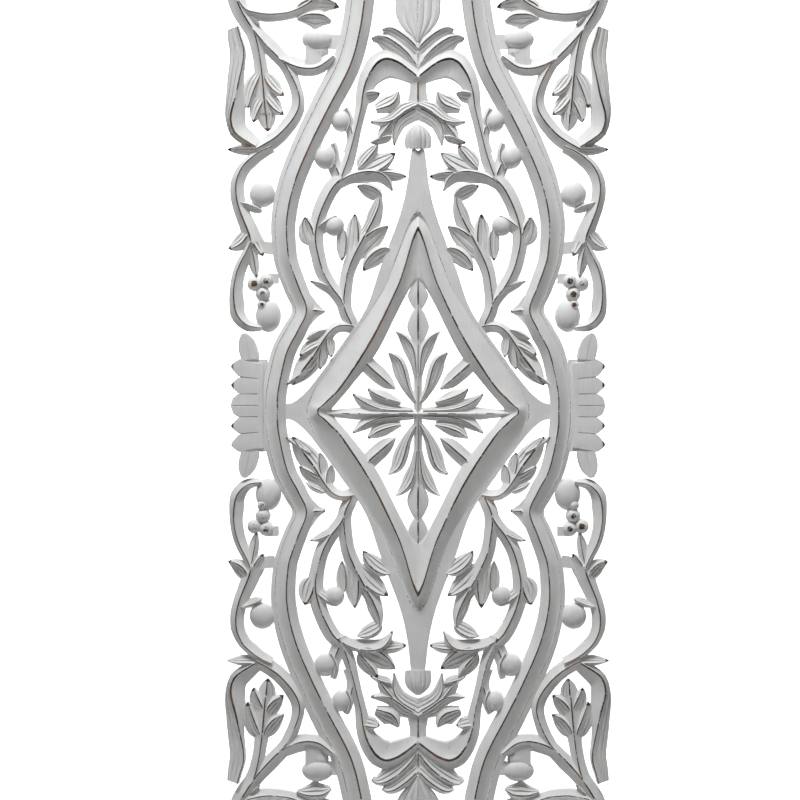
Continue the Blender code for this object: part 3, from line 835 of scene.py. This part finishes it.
# Inner field: stems with leaves and round buds, cut from the board between each side moulding and
# the diamond. They grow out of the two frames at both ends, which hold them in place.
carve(
    "inner_field",
    MOULDING_AXIS,
    stems=[
        strip(
            [(73, 103), (78, 112), (87, 123.5), (95, 139), (100, 156), (102.5, 172), (100.5, 186),
             (96, 200), (90, 213), (84, 223), (75, 232)],
            (7, 7, 6.5, 7, 8.5, 6.5, 6.5, 7),
            (7, 7, 8, 7.5, 8, 8.5, 9, 8),
        ),
        strip(
            [(64, 80), (68, 89), (72.5, 99), (74, 110), (72.5, 124), (70, 138), (65, 151),
             (59, 163), (53, 174)],
            (7, 7, 7.5, 7, 7, 8, 8),
            (7, 7, 7, 6.5, 7, 8, 8),
            crest=(8.5, *[STEM_CREST] * 6),
        ),
        strip([(62, 83), (70, 84.5), (79, 84), (86, 80), (92, 73), (98, 64), (104, 54)],
              (3, 4, 5, 6, 6, 6), (8, 7, 6, 7, 8, 9), crest=(8.5, *[STEM_CREST] * 5)),
        strip([(75, 227), (81, 240), (86, 253)], 7, 8, crest=LEAF_TIP),
        strip([(69, 256), (65, 270), (68, 285)], 5, 6, crest=LEAF_TIP),
        strip([(80, 226), (72, 232), (62, 236), (50, 238), (38, 236.5), (30, 230), (25.5, 219)],
              (6, 8, 10, 11, 10, 7, 0.8), (5, 3, 3, 3.5, 3, 3, 0.8)),
        strip([(117, 100), (108, 99.5), (100, 99), (92.5, 98.5)], (22, 17, 7, 0.8),
              (22, 17, 7, 0.8), crest=(13, 11, 9.5), edge=(9, 8.5, 8)),
    ],
    leaves=[
        leaf((65, 148), (63, 196), 19, lean=0.5),
        leaf((75, 181), (76, 148.5), 12.5, lean=-0.6),
        strip([(54, 174), (48, 184), (43, 194), (39, 204), (38, 213)],
              (7, 9, 8, 5, 2), (7, 6, 8, 8, 3), crest=LEAF_CREST),
        leaf((36, 211), (61, 223.5), 15, bow=1.5, lean=0.6),
        leaf((63, 151), (29.5, 183.5), 20, bow=-2, lean=-0.65),
        leaf((28, 161), (55, 138.5), 17, bow=3, lean=0.5),
        leaf((104, 175), (81, 193.5), 12, lean=-0.5),
        leaf((104, 164), (113, 192.5), 23, lean=0.3),
        leaf((78, 113), (108, 128.5), 10, bow=2, lean=0.3),
        leaf((89, 74), (86.5, 52.5), 11, lean=0.6),
        leaf((91, 80), (112, 70.5), 10, lean=0.3),
        leaf((93, 69), (118.5, 54), 14, bow=2, lean=-0.4),
        leaf((94, 67), (126, 24.5), 22),
        leaf((95, 64), (98, 40.5), 13, lean=0.3),
        leaf((106, 41), (132, 25), 8, lean=0.3),
        leaf((61, 238), (22.5, 256.5), 20, bow=2, lean=0.7),
        leaf((40, 236), (11.5, 233), 13, lean=-0.3),
        leaf((60, 241), (40, 264.5), 16, lean=0.2),
        strip([(72, 301), (68.5, 294), (67.5, 287), (71, 278)], 3.5, 3, crest=LEAF_CREST),
        strip([(84.5, 266), (82, 258), (82.5, 250), (87, 241)], 3.5, 3, crest=LEAF_CREST),
    ],
    buds=[
        ((83.5, 184), 10, 10.5, BUD_CREST, 0.0),
        ((92.5, 252.5), 11.5, 12, BUD_CREST, 0.0),
        ((76.5, 288.5), 10, 11, BUD_CREST, 0.0),
    ],
)

# Outer field: the strap, scrolls, hanging leaf, bell, ring and berries on the panel's outer edge,
# and the flat webs of wood that tie them to the moulding.
OUTER_AXIS = 5.0
BELL_NECK = 11.0
BERRY_WEAR = 0.86
flat_section = section_object(
    "flat_section",
    [(1.0, 0.0, 0.0, 0.0, 0.0), (0.0, 0.0, 0.0, 0.0, 0.0), (0.0, 1.0, 0.0, 0.0, 0.0)],
)


def web(start, end, half_width, height=MOULDING_LIP):
    """Rows of a flat bridge of wood, left low between two carved pieces."""
    middle = (Vector(start) + Vector(end)) / 2
    return strip([start, middle, end], half_width, half_width, crest=height, edge=height)


webs = [
    web((143, 161), (160, 163), 6),
    web((139, 131), (152, 131), 5),
    web((166, 308), (184, 306), 5),
    web((104.5, 364), (104.5, 343), 8, BELL_NECK),
    web((72, 367), (90, 368), 7),
]
repeat("outer_webs", [strips_object("webs", webs, flat_section, steps=1)], OUTER_AXIS)
carve(
    "outer_field",
    OUTER_AXIS,
    stems=[
        strip(
            [(184, 418), (177, 400), (170, 388), (163.5, 377), (159.5, 362), (157, 347),
             (155, 330), (153.5, 312), (152, 296)],
            (9, 9.5, 9, 8, 7, 8, 9, 7),
            (9, 8, 7, 6, 5.5, 7, 8, 6),
        ),
        strip(
            [(166, 381), (158, 371), (149, 361), (140, 352), (133, 345), (126, 333), (121, 322),
             (118, 311), (119, 301), (124, 291), (132, 281), (141, 272.5), (151, 266), (162, 260)],
            (4, 6, 6, 6, 6.5, 7, 8, 8.5, 8, 7.5, 7, 7),
            (8, 9, 10, 9, 7, 5, 4.5, 6, 7, 8, 9, 7),
        ),
        strip([(138, 350), (128, 344.5), (117, 341), (107, 340.3), (97, 343), (84, 353)],
              (4, 6.5, 7, 7, 6, 4), (8, 10, 10, 10, 9, 4)),
        strip(
            [(146, 263), (157, 258), (167, 251), (175.5, 242), (181, 229), (181.5, 215),
             (178.5, 201), (174, 189), (169.5, 178), (165.5, 166)],
            (4, 4, 4, 5, 6, 6, 6, 7, 9),
            (6, 8, 9, 8, 8, 8, 9, 10.5, 11),
        ),
        strip(
            [(166, 170), (171, 158), (177, 147), (181.5, 135), (184, 120), (183.5, 106), (181, 96),
             (175, 88), (167, 83.5), (156, 82)],
            (4, 4, 4, 4, 4, 5, 7, 6, 3),
            (6, 6, 8, 8.5, 9, 10, 8, 5, 3),
        ),
        strip(
            [(180, 410), (172, 399.5), (162, 396.3), (150, 394.5), (138, 395), (128, 396.5),
             (117, 401), (106, 408), (96, 417)],
            (3, 6, 7, 7, 6, 7, 10, 10),
            (3, 4, 5.5, 6, 6, 6, 6, 6),
        ),
    ],
    leaves=[
        strip(
            [(180, 382.5), (177, 372), (173.5, 360), (174, 348), (178, 330), (182, 313),
             (186, 300), (187.5, 289), (184, 277), (175, 269.5), (162, 262)],
            (11, 15, 14, 12, 9, 4.4, 4, 4),
            (1.5, 1.5, 2, 5, 13, 15, 14, 9),
        ),
        leaf((155, 260), (190.5, 260), 11, lean=0.5),
        leaf((155, 198), (178, 207), 9, lean=0.3),
        leaf((169, 181), (189.5, 161), 16, bow=-4, lean=-0.2),
        leaf((168, 181), (154.5, 153.5), 16, lean=0.4),
        leaf((168, 167), (161, 131), 11, lean=-0.2),
        leaf((153, 337), (133.5, 314), 16, bow=2.5, lean=0.4),
        leaf((157, 338), (170, 301), 16, bow=3, lean=-0.4),
        leaf((153, 317), (134, 295), 17, bow=2, lean=0.3),
        leaf((152, 315), (164.5, 287), 16, bow=2, lean=-0.3),
        leaf((152, 306), (150, 278), 18),
        leaf((168, 394), (158, 384.5), 7),
        leaf((124, 395), (78.5, 402), 20, bow=-7, lean=-0.5),
        strip([(121, 390), (112, 394), (103, 394.8), (94, 393.5), (86.5, 388)],
              (1, 10, 15, 12, 3), (0.8, 4, 5, 4, 1), crest=LEAF_CREST),
    ],
    buds=[
        ((155.5, 215.5), 13, 13.5, BUD_CREST, 0.0),
        ((149.5, 94), 13, 16.5, BUD_CREST, 0.0),
        ((100.5, 370.3), 15.8, 10.8, BUD_CREST, 0.0),
        ((99, 358.5), 10, 8, 11.5, 0.0),
        ((151.5, 128.5), 7.6, 7.6, BUD_CREST, BERRY_WEAR),
        ((163.2, 126), 7.6, 7.6, BUD_CREST, BERRY_WEAR),
        ((154.8, 115.5), 7.6, 7.6, BUD_CREST, BERRY_WEAR),
        ((155.5, 105), 5.5, 5.5, BUD_CREST, BERRY_WEAR),
    ],
)

# Fans: seven petals on the outer edge of each side, opposite the diamond's side points. The petals
# are nearly flat, with grooves cut between them that are painted dark as shade, and their tips
# are worn brown.
FAN_AXIS = 4.5
PETAL_CREST = 12.5
PETAL_GROOVE = 12.2
GROOVE_FLOOR = 10.6
PETAL_ROOT = 155.0
PETAL_TIP = 186.5
PETAL_WORN_BELOW = 0.4
# Last number: painted shade in the grooves between petals and down the middle petal's groove.
petal_half = [(1.0, 0.11, 0.9), (0.91, 0.0, 0.25), (0.82, 0.0, 0.0)]


def petal_section(name, middle):
    """Cross-section of a flat petal between two grooves, with what is given down its middle."""
    return section_object(
        name,
        [(share, 0.0, 0.0, dip, ridge) for share, dip, ridge in petal_half + middle]
        + [(0.0, 0.0, 0.0, middle[-1][1] if len(middle) > 1 else 0.0, 0.0)]
        + [(0.0, share, 0.0, dip, ridge) for share, dip, ridge in reversed(petal_half + middle)],
    )


side_petal_section = petal_section("side_petal_section", [(0.4, 0.0, 0.0)])
middle_petal_section = petal_section("middle_petal_section", [(0.06, 0.0, 0.0), (0.01, 0.05, 0.6)])


def petal(at_root, at_rim, half_root, half_rim, ending):
    """Rows of a fan petal from the moulding to its tip, which narrows as the ending says."""
    rows = []
    for share, opening in ((0.0, 1.0), (0.35, 1.0), (0.7, 1.0), *ending):
        across = PETAL_ROOT + (PETAL_TIP - PETAL_ROOT) * share
        middle = FAN_AXIS + at_root + (at_rim - at_root) * share
        half = (half_root + (half_rim - half_root) * share) * opening
        rows.append(
            (
                point_3d(across, middle + half, PETAL_GROOVE),
                point_3d(across, middle, PETAL_CREST),
                point_3d(across, middle - half, PETAL_GROOVE),
                point_3d(across, middle - half, PETAL_GROOVE),
                WORN_TIP * (share > LEAF_WORN_FROM and opening < PETAL_WORN_BELOW),
            )
        )
    return rows


rounded = ((0.85, 0.86), (0.94, 0.62), (1.0, 0.15))
pointed = ((0.82, 0.75), (0.93, 0.38), (1.0, 0.04))
side_petals = [petal(19.0, 20.2, 7.6, 8.8, pointed), petal(33.8, 39.0, 7.8, 9.6, pointed)]
repeat(
    "fans",
    [
        strips_object("side_petals", side_petals, side_petal_section, steps=2),
        strips_object(
            "middle_petal", [petal(0.0, 0.0, 11.6, 12.0, rounded)], middle_petal_section, steps=2
        ),
        strips_object(
            "fan_root",
            [
                strip([(154.5, FAN_AXIS - PAST_AXIS), (154.5, FAN_AXIS + 20),
                       (154.5, FAN_AXIS + 46)],
                      4.5, 4.5, crest=MOULDING_LIP, edge=MOULDING_LIP),
                strip([(157.5, FAN_AXIS - PAST_AXIS), (157.5, FAN_AXIS + 20),
                       (156.5, FAN_AXIS + 42)],
                      2.5, 2.5, crest=PETAL_CREST, edge=PETAL_CREST),
                strip([(167, 42), (168, 50), (169, 60)], 8.8, 7,
                      crest=GROOVE_FLOOR, edge=GROOVE_FLOOR),
            ],
            flat_section,
            steps=1,
        ),
        strips_object(
            "fan_top_petal",
            [strip([(168, 50.2), (168.5, 55), (169.7, 61), (171.2, 67.5), (172.6, 73),
                    (173.2, 76.5)],
                   (9.5, 9.7, 9.4, 8.6, 6.8, 1.5), (8.5, 9, 9.3, 8.8, 7, 2.5),
                   crest=PETAL_CREST, edge=PETAL_GROOVE)],
            middle_petal_section,
            steps=2,
        ),
    ],
    FAN_AXIS,
)

# The board: everything above is one piece of wood. The carving is joined, its ends are cut square
# and it is brushed with thin white paint, rubbed back to the brown wood along ridges and tips, with
# the same brown painted into grooves and along cut edges as shade.
PANEL_TOP = 410.0
PANEL_BOTTOM = -390.0
BLANK_WIDTH = 600.0
BLANK_DEPTH = 60.0
THIN_PAINT = (0.80, 0.80, 0.79, 1.0)
THICK_PAINT = (0.88, 0.88, 0.87, 1.0)
GRAIN_GREY = (0.70, 0.69, 0.67, 1.0)
# Brown of the rubbed wood, also used as painted shade in grooves and along cut edges.
DARK_WOOD_AND_SHADE = (0.040, 0.031, 0.026, 1.0)
BROWN_WOOD_AND_SHADE = (0.19, 0.10, 0.052, 1.0)
SHARP_EDGE = math.radians(25)


def painted_wood():
    """Thin white paint over wood, rubbed through along the ridges, with faint grain. The same
    brown stands as painted shade in the grooves and along the cut edges.
    """
    material = bpy.data.materials.new("whitewashed_wood")
    material.use_nodes = True
    tree = material.node_tree
    shader = tree.nodes["Principled BSDF"]
    place = node(tree, "ShaderNodeTexCoord", {}, {}, "Object")

    def noise(scale, detail, stretch=(1.0, 1.0, 1.0)):
        return node(
            tree,
            "ShaderNodeTexNoise",
            {},
            {"Vector": place * Vector(stretch), "Scale": scale, "Detail": detail},
            "Fac",
        )

    def mixed(factor, low, high):
        """Mixes two colours, which are the Mix node's inputs 6 and 7 and its output 2."""
        return node(
            tree, "ShaderNodeMix", {"data_type": "RGBA"}, {"Factor": factor, 6: low, 7: high}, 2
        )

    ridge = node(tree, "ShaderNodeAttribute", {"attribute_name": "worn"}, {}, "Fac")
    grain = noise(90.0, 4.0, (4.0, 4.0, 0.5))
    patches = noise(38.0, 3.0)
    specks = noise(420.0, 2.0)
    # Brown marks: rubbed wear on crests and tips, and painted shade in grooves and along cut edges.
    rubbed_and_shaded = (ridge * (0.36 + patches) + (specks - 0.5) * 0.45).ramp(0.58, 0.74)
    tone = mixed(patches.ramp(0.3, 0.75), THIN_PAINT, THICK_PAINT)
    tone = mixed(grain.ramp(0.45, 0.8) * 0.35, tone, GRAIN_GREY)
    wood_and_shade = mixed(patches.ramp(0.46, 0.66), DARK_WOOD_AND_SHADE, BROWN_WOOD_AND_SHADE)
    colour = mixed(rubbed_and_shaded, tone, wood_and_shade)
    tree.links.new(colour.socket, shader.inputs["Base Color"])
    roughness = 0.55 + grain * 0.15 + rubbed_and_shaded * 0.15
    tree.links.new(roughness.socket, shader.inputs["Roughness"])
    relief = grain * 0.7 + specks * 0.3 - rubbed_and_shaded * 0.5
    bump = node(
        tree, "ShaderNodeBump", {}, {"Strength": 0.25, "Distance": 0.4 * MM, "Height": relief}
    )
    tree.links.new(bump.socket, shader.inputs["Normal"])
    return material


def build_board_tree():
    """Tree that joins the carved groups into one board, cuts its ends square and paints it."""
    tree, given, result = new_tree(
        "joined_board",
        {
            "Geometry": "Geometry",
            "Carving": "Collection",
            "Width": "Float",
            "Depth": "Float",
            "Top": "Float",
            "Bottom": "Float",
            "Paint": "Material",
        },
    )
    groups = node(
        tree,
        "GeometryNodeCollectionInfo",
        {"transform_space": "ORIGINAL"},
        {"Collection": given["Carving"], "Separate Children": True},
    )
    joined = node(
        tree,
        "GeometryNodeMeshBoolean",
        {"operation": "UNION", "solver": "MANIFOLD"},
        {"Mesh 2": groups},
    )
    size = node(
        tree,
        "ShaderNodeCombineXYZ",
        {},
        {"X": given["Width"], "Y": given["Depth"], "Z": given["Top"] - given["Bottom"]},
    )
    blank = node(tree, "GeometryNodeMeshCube", {}, {"Size": size}, "Mesh")
    middle = node(
        tree, "ShaderNodeCombineXYZ", {}, {"Z": (given["Top"] + given["Bottom"]) * 0.5}
    )
    blank = node(tree, "GeometryNodeTransform", {}, {"Geometry": blank, "Translation": middle})
    cut = node(
        tree,
        "GeometryNodeMeshBoolean",
        {"operation": "INTERSECT", "solver": "MANIFOLD"},
        {"Mesh 2": [joined, blank]},
    )
    real = node(tree, "GeometryNodeRealizeInstances", {}, {"Geometry": cut})
    painted = node(
        tree, "GeometryNodeSetMaterial", {}, {"Geometry": real, "Material": given["Paint"]}
    )
    tree.links.new(painted.socket, result)
    return tree


paint = painted_wood()
board = bpy.data.objects.new("board", bpy.data.meshes.new("board"))
bpy.context.scene.collection.objects.link(board)
add_tree(
    board,
    build_board_tree(),
    {
        "Carving": carving,
        "Width": BLANK_WIDTH * MM,
        "Depth": BLANK_DEPTH * MM,
        "Top": PANEL_TOP * MM,
        "Bottom": PANEL_BOTTOM * MM,
        "Paint": paint,
    },
)
graph = bpy.context.evaluated_depsgraph_get()
plain = bpy.data.meshes.new_from_object(board.evaluated_get(graph), depsgraph=graph)
for drawing in [board, *carving.all_objects, *drawn.all_objects]:
    bpy.data.objects.remove(drawing)
# The paint reads only its wear and painted shade, so what guided the trees is dropped.
guides = ("crest", "left_edge", "right_edge", "rim", "shares", "dip", "ridge", "front", "tip",
          "size")
for spare in guides:
    if spare in plain.attributes:
        plain.attributes.remove(plain.attributes[spare])
plain.shade_smooth()
plain.set_sharp_from_angle(angle=SHARP_EDGE)
panel = bpy.data.objects.new("painted_carving", plain)
bpy.context.scene.collection.objects.link(panel)
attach(panel, "root")
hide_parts("carved_panel")

# Room: a pale matt floor that curves up into a backdrop well behind the panel, so that the panel's
# openings show only a plain ground. Sizes here and below are in metres.
FLOOR = -1.5
FLOOR_FRONT = -4.0
FLOOR_BACK = 1.0
BEND = 1.2
BEND_STEPS = 12
BACKDROP_TOP = 4.0
HALF_ROOM = 5.0

pale_floor = bpy.data.materials.new("pale_floor")
pale_floor.use_nodes = True
matt = pale_floor.node_tree.nodes["Principled BSDF"]
matt.inputs["Base Color"].default_value = (0.93, 0.93, 0.93, 1.0)
matt.inputs["Roughness"].default_value = 0.9

profile = [(FLOOR_FRONT, FLOOR), (FLOOR_BACK, FLOOR)]
for step in range(1, BEND_STEPS + 1):
    turn = math.pi / 2 * step / BEND_STEPS
    profile.append((FLOOR_BACK + BEND * math.sin(turn), FLOOR + BEND - BEND * math.cos(turn)))
profile.append((FLOOR_BACK + BEND, BACKDROP_TOP))
verts = [(side * HALF_ROOM, y, z) for y, z in profile for side in (-1, 1)]
faces = [(2 * n, 2 * n + 1, 2 * n + 3, 2 * n + 2) for n in range(len(profile) - 1)]
floor_mesh = bpy.data.meshes.new("floor")
floor_mesh.from_pydata(verts, [], faces)
floor_mesh.shade_smooth()
floor_mesh.materials.append(pale_floor)
floor = bpy.data.objects.new("floor", floor_mesh)
bpy.context.scene.collection.objects.link(floor)

# Lights: a soft lamp high in front of the panel and a little to its left, a wide lamp aimed at the
# backdrop, and a faint even light from all round.
LAMP_COLOUR = (0.97, 0.985, 1.0)


def area_light(name, place, target, size, power, spread):
    """A rectangular lamp that points at its target, spread in degrees."""
    light = bpy.data.lights.new(name, "AREA")
    light.spread = math.radians(spread)
    light.shape = "RECTANGLE"
    light.size, light.size_y = size
    light.energy = power
    light.color = LAMP_COLOUR
    obj = bpy.data.objects.new(name, light)
    obj.location = place
    obj.rotation_euler = (Vector(target) - Vector(place)).to_track_quat("-Z", "Y").to_euler()
    bpy.context.scene.collection.objects.link(obj)


area_light(
    "top_light",
    place=(-0.25, -0.95, 2.0),
    target=(0.0, 0.0, 0.05),
    size=(0.9, 0.5),
    power=11.0,
    spread=90,
)
area_light(
    "backdrop_light",
    place=(0.0, 1.0, 2.6),
    target=(0.0, 2.6, 0.3),
    size=(4.0, 0.5),
    power=130.0,
    spread=80,
)
world = bpy.data.worlds.new("soft_studio")
world.use_nodes = True
even_light = world.node_tree.nodes["Background"]
even_light.inputs["Color"].default_value = (1.0, 0.98, 0.955, 1.0)
even_light.inputs["Strength"].default_value = 0.145
bpy.context.scene.world = world
bpy.context.scene.view_settings.view_transform = "Standard"

# Camera: level and square to the panel, far enough away that the relief hardly leans outwards. Its
# frame is as tall as the panel's length shown, and the panel stands a little right of the middle.
DISTANCE = 3.6
FRAME_SIZE = 0.8
FRAME_MIDDLE = (-0.018, 0.010)
camera_data = bpy.data.cameras.new("camera")
camera_data.sensor_width = 36.0
camera_data.lens = camera_data.sensor_width * DISTANCE / FRAME_SIZE
camera = bpy.data.objects.new("camera", camera_data)
camera.location = (FRAME_MIDDLE[0], -DISTANCE, FRAME_MIDDLE[1])
camera.rotation_euler = (math.pi / 2, 0.0, 0.0)
bpy.context.scene.collection.objects.link(camera)
bpy.context.scene.camera = camera
